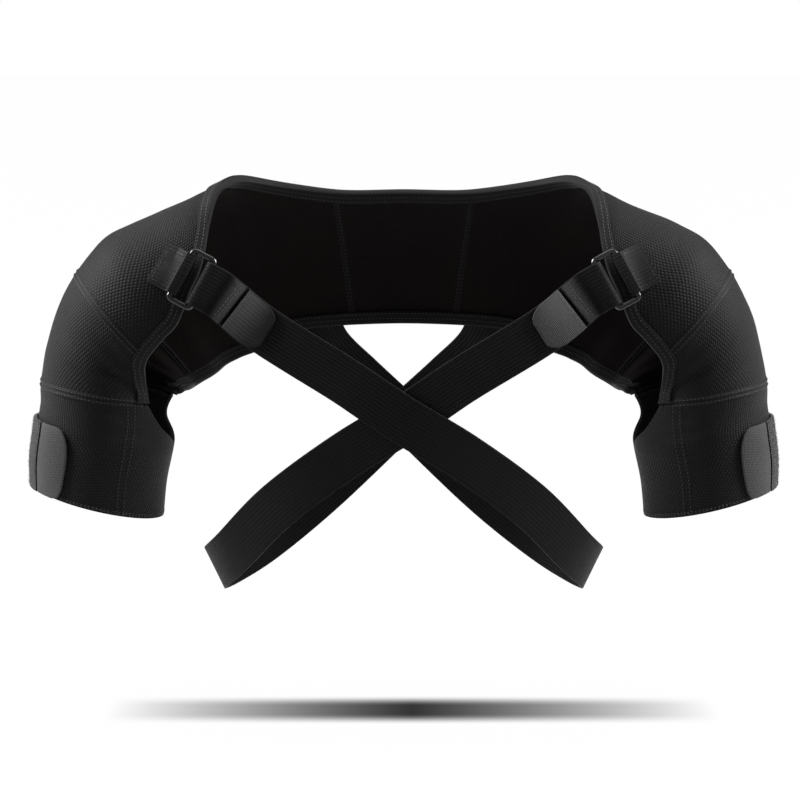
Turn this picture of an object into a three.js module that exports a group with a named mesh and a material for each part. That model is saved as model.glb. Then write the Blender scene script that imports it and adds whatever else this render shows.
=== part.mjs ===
// A double shoulder brace of elastic sheet cloth: a back panel, two shoulder caps with arm cuffs,
// and two straps that cross on the chest and loop round it to the back.
// Millimetres. +Z is up, the wearer faces -Y, and the origin lies between the tops of the shoulders.
import * as THREE from "three";

// Sizes of the shell
const ARM_REACH = 281; // from the middle to the outside of the arm at the cuff seam
const ARM_DROP = 230; // from the shoulder line to the cuff's hem
const BACK_DEPTH = 92; // from the shoulder line to the middle of the back
const FRONT_DEPTH = 60; // from the shoulder line to the front of the shoulder
const CLOTH = 3; // thickness of the cushioned sheet
const SEAM_GAP = 0.6; // between two panels, across their seam
const GAP = 0.3; // between two layers that lie on each other
const TAPE = 1; // thickness of the edge tape
const TAPE_WIDTH = 8;
const TAPE_GAP = 0.85; // between the tape and the cloth in it

// Sizes of the cuff's closure
const FLAP = 2.5; // thickness of the pile-faced band
const TAB = 1.6; // thickness of the hook tab
const CLOSURE_GAP = 0.6; // between the closure and the cuff
// Where the closure lies on the cuff: sections, and angles from the crown in degrees
const CLOSURE_TOP = 14.55;
const CLOSURE_BOTTOM = 16.94;
const TAB_END = -66;
const TAB_START = -33;
const FLAP_START = -32;
const FLAP_END = 150;
const TAB_ROUNDING = 14; // how far the tab's corners fall back from its end

// Sizes of the straps, rings and anchors
const CHEST_HALF_WIDTH = 148;
const CHEST_DEPTH = 101; // from the shoulder line to a strap on the chest or the back
const STRAP_DROP = 300; // from the shoulder line to the lowest point of a strap
const STRAP_WIDTH = 36;
const STRAP = 2; // thickness
const STRAP_CROSSING = 4.4; // the under strap's shift where the straps cross
const FOLD_BACK = 32; // length of a strap that is turned back over its ring
const HOOK_TAB = 36; // length of the rounded tab on its end
const TAB_GAP = 2.4; // between the turned-back end and the tab
const RING_BAR = 4;
const RING_THICKNESS = 4;
const RING_SLOT = 14;
const RING_CLEARANCE = 0.5; // between a ring's bar and the webbing round it
const WEBBING = 1.3; // thickness of one layer of the anchor
const ANCHOR_LENGTH = 30; // from the ring's middle to the anchor's sewn end
const ANCHOR_MARGIN = 1; // how much narrower the anchor is than the strap, on each side

// One row for each section of the shell, from the middle of the back to the cuff's hem.
// out and up place the section's crown, as shares of ARM_REACH and ARM_DROP. lean turns its plane inwards.
// riseFront and riseBack are the half heights, as shares of ARM_DROP; deepFront and deepBack the half depths,
// as shares of FRONT_DEPTH and BACK_DEPTH. edgeFront and edgeBack are the angles from the crown to the edges.
const COLUMNS = [
  "out", "up", "lean", "riseFront", "riseBack", "deepFront", "deepBack", "edgeFront", "edgeBack",
];
const SECTIONS = [
  [0.0, 0.13, 0, 0.365, 0.617, 0.77, 1.0, 42, 90], // middle of the back
  [0.212, 0.117, 7.5, 0.365, 0.609, 0.77, 1.0, 40.5, 90.5], // back seam
  [0.37, 0.078, 12, 0.357, 0.565, 0.77, 0.978, 30, 93],
  [0.452, 0.046, 15, 0.348, 0.543, 0.77, 0.967, 14.5, 94.4],
  [0.504, 0.013, 17, 0.348, 0.53, 0.783, 0.957, -8, 95.6], // corner of the neckline
  [0.552, -0.013, 19.5, 0.348, 0.522, 0.8, 0.946, -40, 97],
  [0.605, -0.043, 22, 0.348, 0.504, 0.95, 0.924, -63, 99],
  [0.676, -0.08, 25, 0.339, 0.47, 0.983, 0.891, -78, 103.4], // top of the shoulder
  [0.754, -0.12, 30, 0.313, 0.426, 1.0, 0.848, -95.4, 112],
  [0.829, -0.174, 36, 0.287, 0.374, 1.017, 0.793, -105.7, 125.5],
  [0.899, -0.281, 42.5, 0.27, 0.322, 1.0, 0.728, -109, 134.6], // slanting seam
  [0.95, -0.396, 55, 0.243, 0.27, 0.967, 0.674, -119.5, 150],
  [0.982, -0.517, 68, 0.226, 0.243, 0.95, 0.652, -127.4, 156],
  [1.0, -0.646, 82, 0.226, 0.23, 0.95, 0.63, -129.4, 152.5], // cuff seam
  [1.005, -0.726, 81.5, 0.228, 0.228, 0.933, 0.62, -146, 144],
  [1.014, -0.8, 80.5, 0.228, 0.228, 0.933, 0.609, -180, 180], // the cuff closes under the arm
  [1.025, -0.9, 78.5, 0.224, 0.224, 0.9, 0.587, -180, 180],
  [1.025, -1.0, 76, 0.22, 0.22, 0.867, 0.565, -180, 180], // hem
];
const BACK_SEAM = 1;
const NECK_BEND = [2.8, 6.8]; // the edge turns round the neck between these, so sections lie closer
const SLANTING_SEAM = 10;
const CUFF_SEAM = 13;
const CUFF_CLOSES = 15;
const HEM = SECTIONS.length - 1;
const ODD_COLUMNS = ["out", "lean"]; // these change sign across the middle of the back
const UNITS = {
  out: ARM_REACH,
  up: ARM_DROP,
  lean: 1,
  riseFront: ARM_DROP,
  riseBack: ARM_DROP,
  deepFront: FRONT_DEPTH,
  deepBack: BACK_DEPTH,
  edgeFront: 1,
  edgeBack: 1,
};

// The route of a strap round the chest, from its ring to the back panel, for the strap whose ring is at -X.
// across, depth and drop are shares of CHEST_HALF_WIDTH, CHEST_DEPTH and STRAP_DROP; tuck is 1 where the
// under strap goes behind the upper one; tilt leans the strap's face down.
const ROUTE_COLUMNS = ["across", "depth", "drop", "tuck", "tilt"];
const STRAP_ROUTE = [
  [-0.722, -0.87, -0.325, 0, 0],
  [-0.286, -0.98, -0.457, 0.8, 0],
  [-0.02, -1.02, -0.544, 1, 0],
  [0.303, -0.97, -0.644, 0.8, -0.1],
  [0.643, -0.8, -0.776, 0, -0.2],
  [0.9, -0.46, -0.921, 0, -0.3],
  [1.0, 0.0, -0.99, 0, -0.35],
  [0.93, 0.42, -1.0, 0, -0.3],
  [0.764, 0.72, -0.965, 0, -0.2],
  [0.46, 0.93, -0.855, 0.8, -0.1],
  [-0.02, 1.03, -0.63, 1, 0],
  [-0.235, 1.02, -0.53, 0.8, 0],
  [-0.4, 0.99, -0.448, 0.2, 0],
];
// Where a strap's end is sewn on the back: two places on the shell, each a section and an angle from
// its crown
const SEWN = [
  [1.85, 90],
  [2.35, 80],
];
const SEWN_CLEARANCE = 0.8; // more room under the strap, for the hollow of the back
// Where a ring sits on the front edge, and how far its strap's direction falls below level
const RING_SECTION = 6.6;
const RING_FALL = 29;

const DEGREE = Math.PI / 180;
const SAMPLES = 120; // steps along a section when its length is measured
const materials = makeMaterials();
const brace = new THREE.Group();

// The smooth value of one column of a table, at a place between its rows.
function smooth(rows, index, place, odd) {
  const at = (i) => {
    const row = rows[Math.min(Math.abs(i), rows.length - 1)];
    return i < 0 && odd ? -row[index] : row[index];
  };
  const i = Math.min(Math.floor(place), rows.length - 2);
  const t = place - i;
  const [a, b, c, d] = [at(i - 1), at(i), at(i + 1), at(i + 2)];
  const bend = (2 * a - 5 * b + 4 * c - d) * t * t + (3 * b - 3 * c + d - a) * t * t * t;
  return 0.5 * (2 * b + (c - a) * t + bend);
}

// The section at a place along the shell: negative places are the wearer's right, at -X.
function sectionAt(place) {
  const section = { side: place < 0 ? -1 : 1 };
  COLUMNS.forEach((name, index) => {
    const odd = ODD_COLUMNS.includes(name);
    section[name] = smooth(SECTIONS, index, Math.abs(place), odd) * UNITS[name];
  });
  if (Math.abs(place) >= CUFF_CLOSES) section.edgeFront = -180;
  if (Math.abs(place) >= CUFF_CLOSES) section.edgeBack = 180;
  section.edgeFront = Math.max(section.edgeFront, -180);
  section.edgeBack = Math.min(section.edgeBack, 180);
  return section;
}

// A point on the middle of the cloth, at an angle in degrees from the section's crown.
function clothPoint(section, angle) {
  const front = angle < 0;
  const rise = front ? section.riseFront : section.riseBack;
  const deep = front ? section.deepFront : section.deepBack;
  const down = rise * (1 - Math.cos(angle * DEGREE));
  return new THREE.Vector3(
    section.side * (section.out - down * Math.sin(section.lean * DEGREE)),
    deep * Math.sin(angle * DEGREE),
    section.up - down * Math.cos(section.lean * DEGREE),
  );
}

// The outward normal of the cloth.
function clothNormal(place, angle) {
  const step = 0.02;
  const turn = 0.5;
  const along = clothPoint(sectionAt(place + step), angle).sub(clothPoint(sectionAt(place - step), angle));
  const section = sectionAt(place);
  const across = clothPoint(section, angle + turn).sub(clothPoint(section, angle - turn));
  const normal = along.cross(across).normalize();
  return normal;
}

// A point off the middle of the cloth by some distance along its normal.
function offCloth(place, angle, distance) {
  return clothPoint(sectionAt(place), angle).addScaledVector(clothNormal(place, angle), distance);
}

// The angles that lie at given distances along a section from its front edge.
function anglesAtLengths(section, lengths) {
  const { edgeFront, edgeBack } = section;
  const angles = [edgeFront];
  const sums = [0];
  let last = clothPoint(section, edgeFront);
  for (let i = 1; i <= SAMPLES; i++) {
    const angle = edgeFront + ((edgeBack - edgeFront) * i) / SAMPLES;
    const point = clothPoint(section, angle);
    sums.push(sums[i - 1] + point.distanceTo(last));
    angles.push(angle);
    last = point;
  }
  const total = sums[SAMPLES];
  return lengths(total).map((length) => {
    const i = Math.max(1, sums.findIndex((sum) => sum >= length - 1e-9));
    const share = (length - sums[i - 1]) / (sums[i] - sums[i - 1]);
    return angles[i - 1] + share * (angles[i] - angles[i - 1]);
  });
}

// How long the tape's width is along a section, where the edge runs aslant to the section.
function tapeReach(place, edge) {
  const edgePoint = (at) => clothPoint(sectionAt(at), sectionAt(at)[edge]);
  const step = 0.05;
  const along = edgePoint(place + step).sub(edgePoint(place - step)).normalize();
  const section = sectionAt(place);
  const inward = edge === "edgeFront" ? 1 : -1;
  const across = clothPoint(section, section[edge] + inward).sub(clothPoint(section, section[edge]));
  const sine = across.normalize().cross(along).length();
  return Math.min(TAPE_WIDTH / sine, 2.5 * TAPE_WIDTH);
}

// The angles of the cloth's vertices along a section: the tape's two lines, and even steps between them.
function clothAngles(place, steps) {
  const front = tapeReach(place, "edgeFront");
  const back = tapeReach(place, "edgeBack");
  return anglesAtLengths(sectionAt(place), (total) => {
    const lengths = [0];
    for (let i = 0; i <= steps; i++) lengths.push(front + ((total - front - back) * i) / steps);
    return [...lengths, total];
  });
}

// Evenly spaced places from one section to another.
function placesBetween(start, end, steps) {
  return Array.from({ length: steps + 1 }, (_, i) => start + ((end - start) * i) / steps);
}

// A closed geometry from two grids of points, one on each face of a sheet. Rows from closesAt on are rings.
function sheetGeometry(outer, inner, closesAt = Infinity) {
  const rows = outer.length;
  const width = outer[0].length;
  const positions = [];
  for (const grid of [outer, inner]) {
    for (const row of grid) for (const p of row) positions.push(p.x, p.y, p.z);
  }
  const ringed = (i) => i >= closesAt;
  const at = (face, i, j) => (face * rows + i) * width + (ringed(i) && j === width - 1 ? 0 : j);
  const index = [];
  const quad = (a, b, c, d) => {
    for (const t of [[a, b, c], [a, c, d]]) if (new Set(t).size === 3) index.push(...t);
  };
  for (let i = 0; i < rows - 1; i++) {
    for (let j = 0; j < width - 1; j++) {
      quad(at(0, i, j), at(0, i + 1, j), at(0, i + 1, j + 1), at(0, i, j + 1));
      quad(at(1, i, j), at(1, i, j + 1), at(1, i + 1, j + 1), at(1, i + 1, j));
    }
    if (ringed(i)) continue;
    const last = width - 1;
    quad(at(0, i, 0), at(1, i, 0), at(1, i + 1, 0), at(0, i + 1, 0));
    quad(at(0, i, last), at(0, i + 1, last), at(1, i + 1, last), at(1, i, last));
  }
  for (let j = 0; j < width - 1; j++) {
    quad(at(0, 0, j), at(0, 0, j + 1), at(1, 0, j + 1), at(1, 0, j));
    quad(at(0, rows - 1, j), at(1, rows - 1, j), at(1, rows - 1, j + 1), at(0, rows - 1, j + 1));
  }
  const geometry = new THREE.BufferGeometry();
  geometry.setAttribute("position", new THREE.Float32BufferAttribute(positions, 3));
  geometry.setIndex(index);
  return geometry;
}

// The same geometry with its faces pointing outwards, whichever way its grid ran.
function facingOut(geometry) {
  const p = geometry.getAttribute("position");
  const index = geometry.getIndex().array;
  const [a, b, c] = [new THREE.Vector3(), new THREE.Vector3(), new THREE.Vector3()];
  let volume = 0;
  for (let i = 0; i < index.length; i += 3) {
    a.fromBufferAttribute(p, index[i]);
    b.fromBufferAttribute(p, index[i + 1]);
    c.fromBufferAttribute(p, index[i + 2]);
    volume += a.dot(b.cross(c));
  }
  if (volume < 0) {
    for (let i = 0; i < index.length; i += 3) {
      [index[i + 1], index[i + 2]] = [index[i + 2], index[i + 1]];
    }
  }
  geometry.computeVertexNormals();
  return geometry;
}

function add(name, geometry, material) {
  const mesh = new THREE.Mesh(facingOut(geometry), material);
  mesh.name = name;
  brace.add(mesh);
}

// A layer that follows the cloth, over a grid of places and angles, between two distances from its middle.
function layer(places, anglesFor, low, high, closesAt) {
  const face = (distance) =>
    places.map((place) => anglesFor(place).map((angle) => offCloth(place, angle, distance)));
  return sheetGeometry(face(high), face(low), closesAt);
}

// The places of each panel's sections on one side, from the middle of the back to the hem.
function panelPlaces() {
  const seam = (place, towards) => {
    const here = clothPoint(sectionAt(place), 0);
    const spacing = clothPoint(sectionAt(place + 0.1), 0).distanceTo(here) / 0.1;
    return place + (towards * SEAM_GAP) / 2 / spacing;
  };
  return {
    back: placesBetween(0, seam(BACK_SEAM, -1), 4),
    shoulder: [
      ...placesBetween(seam(BACK_SEAM, 1), NECK_BEND[0], 4).slice(0, -1),
      ...placesBetween(...NECK_BEND, 14),
      ...placesBetween(NECK_BEND[1], seam(SLANTING_SEAM, -1), 7).slice(1),
    ],
    upperArm: placesBetween(seam(SLANTING_SEAM, 1), seam(CUFF_SEAM, -1), 8),
    openCuff: placesBetween(seam(CUFF_SEAM, 1), CUFF_CLOSES, 5),
    closedCuff: placesBetween(CUFF_CLOSES, HEM, 4).slice(1),
  };
}

// A row of places on both sides, from the hem at -X to the other.
function bothSides(places) {
  const mirrored = places.filter((place) => place > 0).map((place) => -place);
  return [...mirrored.reverse(), ...places];
}

// The panels of the shell
function makePanels() {
  const acrossSteps = 12;
  const angles = (place) => clothAngles(place, acrossSteps);
  const half = CLOTH / 2;
  const { back, shoulder, upperArm, openCuff, closedCuff } = panelPlaces();
  add("back_panel", layer(bothSides(back), angles, -half, half), materials.lining);
  for (const [word, side] of [["left", -1], ["right", 1]]) {
    const onSide = (places) => places.map((place) => side * place);
    const cuffPlaces = onSide([...openCuff, ...closedCuff]);
    add(`shoulder_panel_${word}`, layer(onSide(shoulder), angles, -half, half), materials.cloth);
    add(`upper_arm_panel_${word}`, layer(onSide(upperArm), angles, -half, half), materials.cloth);
    add(`arm_cuff_${word}`, layer(cuffPlaces, angles, -half, half, openCuff.length - 1), materials.cloth);
  }
}

// A tape folded over one edge of the shell.
function foldedTape(places, edge) {
  const inner = CLOTH / 2 + TAPE_GAP;
  const outer = inner + TAPE;
  const profiles = places.map((place) => {
    const section = sectionAt(place);
    const reach = tapeReach(place, edge);
    const [far] = anglesAtLengths(section, (total) => [edge === "edgeFront" ? reach : total - reach]);
    const at = section[edge];
    const inside = clothPoint(section, at + Math.sign(far - at) * 2);
    const outward = clothPoint(section, at).sub(inside).normalize();
    const edgeAt = (distance, beyond) => offCloth(place, at, distance).addScaledVector(outward, beyond);
    return [
      offCloth(place, far, inner),
      offCloth(place, far, outer),
      edgeAt(outer, TAPE_GAP + TAPE),
      edgeAt(-outer, TAPE_GAP + TAPE),
      offCloth(place, far, -outer),
      offCloth(place, far, -inner),
      edgeAt(-inner, TAPE_GAP),
      edgeAt(inner, TAPE_GAP),
    ];
  });
  const endQuads = [[0, 1, 2, 7], [2, 3, 6, 7], [3, 4, 5, 6]];
  return sweptGeometry(profiles, endQuads, (places.length - 1) / 2, [1, 5, 6]);
}

// A closed geometry through a row of like outlines, with its ends filled by the named quads. The quads
// before the middle outline are split the other way, so that a symmetric row gives a symmetric solid,
// and so are those of the turned columns, so that both faces of a thin wall are split alike.
function sweptGeometry(profiles, endQuads, middle = 0, turnedColumns = []) {
  const width = profiles[0].length;
  const positions = profiles.flat().flatMap((p) => [p.x, p.y, p.z]);
  const index = [];
  const quad = (a, b, c, d) => index.push(a, b, c, a, c, d);
  for (let i = 0; i < profiles.length - 1; i++) {
    for (let j = 0; j < width; j++) {
      const k = (j + 1) % width;
      const corners = [i * width + j, (i + 1) * width + j, (i + 1) * width + k, i * width + k];
      if (i < middle !== turnedColumns.includes(j)) corners.push(corners.shift());
      quad(...corners);
    }
  }
  const end = (profiles.length - 1) * width;
  for (const [a, b, c, d] of endQuads) {
    quad(a, b, c, d);
    quad(end + a, end + d, end + c, end + b);
  }
  const geometry = new THREE.BufferGeometry();
  geometry.setAttribute("position", new THREE.Float32BufferAttribute(positions, 3));
  geometry.setIndex(index);
  return geometry;
}

function makeTapes() {
  const { back, shoulder, upperArm } = panelPlaces();
  const places = bothSides([...back, ...shoulder, ...upperArm]);
  add("neck_binding", foldedTape(places, "edgeFront"), materials.tape);
  add("lower_binding", foldedTape(places, "edgeBack"), materials.tape);
}

// The band and the hook tab that close each cuff
function makeClosures() {
  const low = CLOTH / 2 + CLOSURE_GAP;
  for (const [word, side] of [["left", -1], ["right", 1]]) {
    const places = placesBetween(CLOSURE_TOP, CLOSURE_BOTTOM, 6).map((place) => side * place);
    const flapAngles = () => placesBetween(FLAP_START, FLAP_END, 22);
    add(`cuff_flap_${word}`, layer(places, flapAngles, low, low + FLAP), materials.pile);
    const tabAngles = (place) => {
      const share = (2 * (Math.abs(place) - CLOSURE_TOP)) / (CLOSURE_BOTTOM - CLOSURE_TOP) - 1;
      const end = TAB_END + TAB_ROUNDING * (1 - Math.sqrt(Math.max(0, 1 - share * share)));
      return placesBetween(end, TAB_START, 5);
    };
    add(`cuff_tab_${word}`, layer(places, tabAngles, low, low + TAB), materials.tab);
  }
}

// The flat frame of a ring on the front edge: its origin, its outward normal, and its own two directions.
// reach points from the ring along the anchor, across along the ring's bars.
function ringFrame(side) {
  const place = side * RING_SECTION;
  const angle = sectionAt(place).edgeFront;
  const normal = clothNormal(place, angle);
  if (normal.y > 0) normal.negate();
  const fall = RING_FALL * DEGREE;
  const reach = new THREE.Vector3(side * Math.cos(fall), 0, Math.sin(fall));
  reach.addScaledVector(normal, -reach.dot(normal)).normalize();
  const across = new THREE.Vector3().crossVectors(normal, reach);
  return { side, place, angle, origin: clothPoint(sectionAt(place), angle), normal, reach, across };
}

// The point of the ring's flat frame.
function flatPoint(frame, along, sideways, height) {
  return frame.origin
    .clone()
    .addScaledVector(frame.reach, along)
    .addScaledVector(frame.across, sideways)
    .addScaledVector(frame.normal, height);
}

// The point above the cloth whose foot has these two coordinates in the ring's frame, found by
// Newton's steps.
function drapedPoint(frame, along, sideways, height) {
  let place = frame.place + frame.side * 0.3;
  let angle = frame.angle + 5;
  const miss = (at, turn) => {
    const foot = clothPoint(sectionAt(at), turn).sub(frame.origin);
    return [foot.dot(frame.reach) - along, foot.dot(frame.across) - sideways];
  };
  for (let i = 0; i < 12; i++) {
    const here = miss(place, angle);
    const placeStep = 0.01;
    const angleStep = 0.1;
    const byPlace = miss(place + placeStep, angle).map((m, k) => (m - here[k]) / placeStep);
    const byAngle = miss(place, angle + angleStep).map((m, k) => (m - here[k]) / angleStep);
    const det = byPlace[0] * byAngle[1] - byPlace[1] * byAngle[0];
    place -= (here[0] * byAngle[1] - here[1] * byAngle[0]) / det;
    angle -= (byPlace[0] * here[1] - byPlace[1] * here[0]) / det;
  }
  return offCloth(place, angle, height);
}

// How high a ring's middle plane lies above the middle of the cloth: over the tape and the anchor's
// lower layer.
const RING_HEIGHT =
  CLOTH / 2 + TAPE_GAP + TAPE + GAP + WEBBING + RING_CLEARANCE + RING_THICKNESS / 2;
const BAR_OFFSET = (RING_SLOT + RING_BAR) / 2; // from the ring's middle to the middle of each long bar

// A rectangular ring with rounded corners
function makeRing(frame, word) {
  const opening = STRAP_WIDTH + 2 * RING_CLEARANCE;
  const roundedRectangle = (path, length, width, radius) => {
    const [x, y] = [length / 2, width / 2];
    path.moveTo(-x + radius, -y).lineTo(x - radius, -y);
    path.absarc(x - radius, -y + radius, radius, -Math.PI / 2, 0);
    path.lineTo(x, y - radius).absarc(x - radius, y - radius, radius, 0, Math.PI / 2);
    path.lineTo(-x + radius, y).absarc(-x + radius, y - radius, radius, Math.PI / 2, Math.PI);
    path.lineTo(-x, -y + radius).absarc(-x + radius, -y + radius, radius, Math.PI, 1.5 * Math.PI);
    return path;
  };
  const bevel = 0.2 * RING_THICKNESS;
  const shape = roundedRectangle(
    new THREE.Shape(), RING_SLOT + 2 * RING_BAR - 2 * bevel, opening + 2 * RING_BAR - 2 * bevel, RING_BAR,
  );
  const hole = roundedRectangle(new THREE.Path(), RING_SLOT + 2 * bevel, opening + 2 * bevel, 0.3 * RING_BAR);
  shape.holes.push(hole);
  const geometry = new THREE.ExtrudeGeometry(shape, {
    depth: RING_THICKNESS - 2 * bevel,
    bevelThickness: bevel,
    bevelSize: bevel,
    bevelSegments: 1,
    curveSegments: 2,
  });
  geometry.translate(0, 0, bevel - RING_THICKNESS / 2);
  const turn = new THREE.Matrix4().makeBasis(frame.reach, frame.across, frame.normal);
  geometry.applyMatrix4(turn);
  const mesh = new THREE.Mesh(geometry, materials.plastic);
  mesh.position.copy(flatPoint(frame, 0, 0, RING_HEIGHT));
  mesh.name = `ring_${word}`;
  brace.add(mesh);
}

// The webbing that holds a ring: an eye round the outer bar, and two layers sewn on the shoulder panel.
function makeAnchor(frame, word) {
  const halfBar = RING_BAR / 2 + RING_CLEARANCE;
  const halfHeight = RING_THICKNESS / 2 + RING_CLEARANCE;
  const foot = CLOTH / 2 + GAP; // on the cloth
  const eyeLow = RING_HEIGHT - halfHeight - WEBBING;
  const eyeTop = RING_HEIGHT + halfHeight + WEBBING;
  const start = BAR_OFFSET - halfBar - WEBBING;
  const end = BAR_OFFSET + halfBar + WEBBING;
  const settles = (2 * ANCHOR_LENGTH) / 3; // from here the webbing lies on the cloth
  const corner = 0.75 * WEBBING;
  const width = STRAP_WIDTH - 2 * ANCHOR_MARGIN;
  const outline = [
    [start, eyeLow], [end, eyeLow], [settles, foot], [ANCHOR_LENGTH, foot],
    [ANCHOR_LENGTH, foot + 2 * WEBBING], [settles, foot + 2 * WEBBING],
    [end + corner, eyeLow + 2 * WEBBING], [end, eyeTop - corner], [end - corner, eyeTop],
    [start + corner, eyeTop], [start, eyeTop - corner],
  ];
  const eye = [
    [BAR_OFFSET - halfBar, RING_HEIGHT - halfHeight], [BAR_OFFSET - halfBar, RING_HEIGHT + halfHeight],
    [BAR_OFFSET + halfBar, RING_HEIGHT + halfHeight], [BAR_OFFSET + halfBar, RING_HEIGHT - halfHeight],
  ];
  const vectors = (points) => points.map(([x, y]) => new THREE.Vector2(x, y));
  const shape = new THREE.Shape(vectors(outline));
  shape.holes.push(new THREE.Path(vectors(eye)));
  const steps = 4;
  const geometry = new THREE.ExtrudeGeometry(shape, { depth: width, steps, bevelEnabled: false });
  const p = geometry.getAttribute("position");
  for (let i = 0; i < p.count; i++) {
    const [along, height] = [p.getX(i), p.getY(i)];
    const sideways = p.getZ(i) - width / 2;
    const share = THREE.MathUtils.smoothstep(along, end, settles);
    const flat = flatPoint(frame, along, sideways, height);
    const draped = drapedPoint(frame, along, sideways, height);
    const point = flat.lerp(draped, share);
    p.setXYZ(i, point.x, point.y, point.z);
  }
  const mesh = new THREE.Mesh(geometry, materials.webbing);
  mesh.name = `anchor_${word}`;
  const probe = new THREE.Vector3().crossVectors(frame.reach, frame.normal).dot(frame.across);
  if (probe < 0) flip(geometry);
  brace.add(mesh);
}

// Turns every face of a loose geometry round.
function flip(geometry) {
  const p = geometry.getAttribute("position");
  const [a, b] = [new THREE.Vector3(), new THREE.Vector3()];
  for (let i = 0; i < p.count; i += 3) {
    a.fromBufferAttribute(p, i + 1);
    b.fromBufferAttribute(p, i + 2);
    p.setXYZ(i + 1, b.x, b.y, b.z);
    p.setXYZ(i + 2, a.x, a.y, a.z);
  }
  geometry.computeVertexNormals();
}

// A strap's own route: points and outward normals from the ring to the sewn end, without the turned-back end.
function strapRoute(frame, under) {
  const { side } = frame;
  const ringEnd = -BAR_OFFSET - 0.4 * RING_BAR;
  const low = RING_HEIGHT - RING_THICKNESS / 2 - RING_CLEARANCE - STRAP / 2;
  const points = [flatPoint(frame, ringEnd, 0, low), flatPoint(frame, ringEnd - STRAP_WIDTH / 3, 0, low)];
  const normals = [frame.normal.clone(), frame.normal.clone()];
  STRAP_ROUTE.forEach((row, index) => {
    const at = Object.fromEntries(ROUTE_COLUMNS.map((name, k) => [name, row[k]]));
    const point = new THREE.Vector3(
      -side * at.across * CHEST_HALF_WIDTH, at.depth * CHEST_DEPTH, at.drop * STRAP_DROP,
    );
    const normal = new THREE.Vector3(
      point.x / CHEST_HALF_WIDTH ** 2, point.y / CHEST_DEPTH ** 2, at.tilt / CHEST_DEPTH,
    ).normalize();
    if (index === 0) normal.lerp(frame.normal, 0.5).normalize();
    if (under) point.addScaledVector(normal, -at.tuck * STRAP_CROSSING * Math.sign(-point.y || 1));
    points.push(point);
    normals.push(normal);
  });
  const sewnHeight = CLOTH / 2 + TAPE_GAP + TAPE + GAP + STRAP / 2 + SEWN_CLEARANCE;
  for (const [section, angle] of SEWN) {
    points.push(offCloth(side * section, angle, sewnHeight));
    normals.push(clothNormal(side * section, angle));
  }
  return { points, normals };
}

// Even samples of a strap's route, each with its place, its direction and its outward normal.
function sampleRoute({ points, normals }, step) {
  const curve = new THREE.CatmullRomCurve3(points, false, "centripetal");
  const steps = Math.round(curve.getLength() / step);
  const samples = [];
  for (let i = 0; i <= steps; i++) {
    const share = curve.getUtoTmapping(i / steps);
    const place = share * (points.length - 1);
    const k = Math.min(Math.floor(place), points.length - 2);
    const normal = normals[k].clone().lerp(normals[k + 1], place - k);
    const tangent = curve.getTangent(share).normalize();
    normal.addScaledVector(tangent, -normal.dot(tangent)).normalize();
    samples.push({ point: curve.getPoint(share), tangent, normal });
  }
  return samples;
}

// A flat ribbon through samples; widthAt may narrow it, by sample index.
function ribbon(samples, thickness, widthAt = () => STRAP_WIDTH) {
  const profiles = samples.map(({ point, tangent, normal }, i) => {
    const across = new THREE.Vector3().crossVectors(tangent, normal).multiplyScalar(widthAt(i) / 2);
    const up = normal.clone().multiplyScalar(thickness / 2);
    return [
      point.clone().add(across).add(up),
      point.clone().add(across).sub(up),
      point.clone().sub(across).sub(up),
      point.clone().sub(across).add(up),
    ];
  });
  return sweptGeometry(profiles, [[0, 1, 2, 3]]);
}

// A strap: its turned-back end, the turn round the ring's inner bar, and its route to the back.
function makeStrap(frame, word, under) {
  const samples = sampleRoute(strapRoute(frame, under), 14);
  const turnHeight = RING_THICKNESS / 2 + RING_CLEARANCE + STRAP / 2;
  const turnReach = RING_BAR / 2 + 2 * RING_CLEARANCE + STRAP / 2;
  const turn = [75, 45, 15, -15, -45, -75].map((degrees) => {
    const [c, s] = [Math.cos(degrees * DEGREE), Math.sin(degrees * DEGREE)];
    const point = flatPoint(frame, -BAR_OFFSET + turnReach * c, 0, RING_HEIGHT + turnHeight * s);
    const normal = frame.reach.clone().multiplyScalar(c).addScaledVector(frame.normal, s);
    const tangent = frame.reach.clone().multiplyScalar(s).addScaledVector(frame.normal, -c);
    return { point, tangent, normal };
  });
  const route = samples.map((sample) => ({ ...sample, normal: sample.normal.clone().negate() }));
  // The end lies on the strap, its middle one thickness and a gap above it, and climbs over the bar.
  const lift = (distance) => {
    const near = 2 * turnHeight;
    const resting = STRAP + 3 * GAP;
    return resting + (near - resting) * (1 - THREE.MathUtils.smoothstep(distance, 0, STRAP_WIDTH / 2));
  };
  const fine = sampleRoute(strapRoute(frame, under), 3);
  const above = (from, to) => {
    const picked = [];
    let distance = 0;
    for (let i = 1; i < fine.length && distance <= to; i++) {
      distance += fine[i].point.distanceTo(fine[i - 1].point);
      if (distance < from || distance > to) continue;
      const { point, tangent, normal } = fine[i];
      picked.push({
        point: point.clone().addScaledVector(normal, lift(distance)),
        tangent: tangent.clone().negate(),
        normal: normal.clone(),
      });
    }
    return picked;
  };
  const end = above(0, FOLD_BACK).reverse();
  add(`strap_${word}`, ribbon([...end, ...turn, ...route], STRAP), materials.strap);
  const tabSamples = above(FOLD_BACK + TAB_GAP, FOLD_BACK + HOOK_TAB);
  const last = tabSamples.length - 1;
  const rounded = (i) => {
    const share = Math.max(0, (i / last - 0.55) / 0.45);
    return STRAP_WIDTH * (0.45 + 0.55 * Math.sqrt(1 - 0.98 * share * share));
  };
  const material = frame.side > 0 ? materials.tab : materials.strap;
  add(`strap_tab_${word}`, ribbon(tabSamples, TAB, rounded), material);
}

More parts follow.
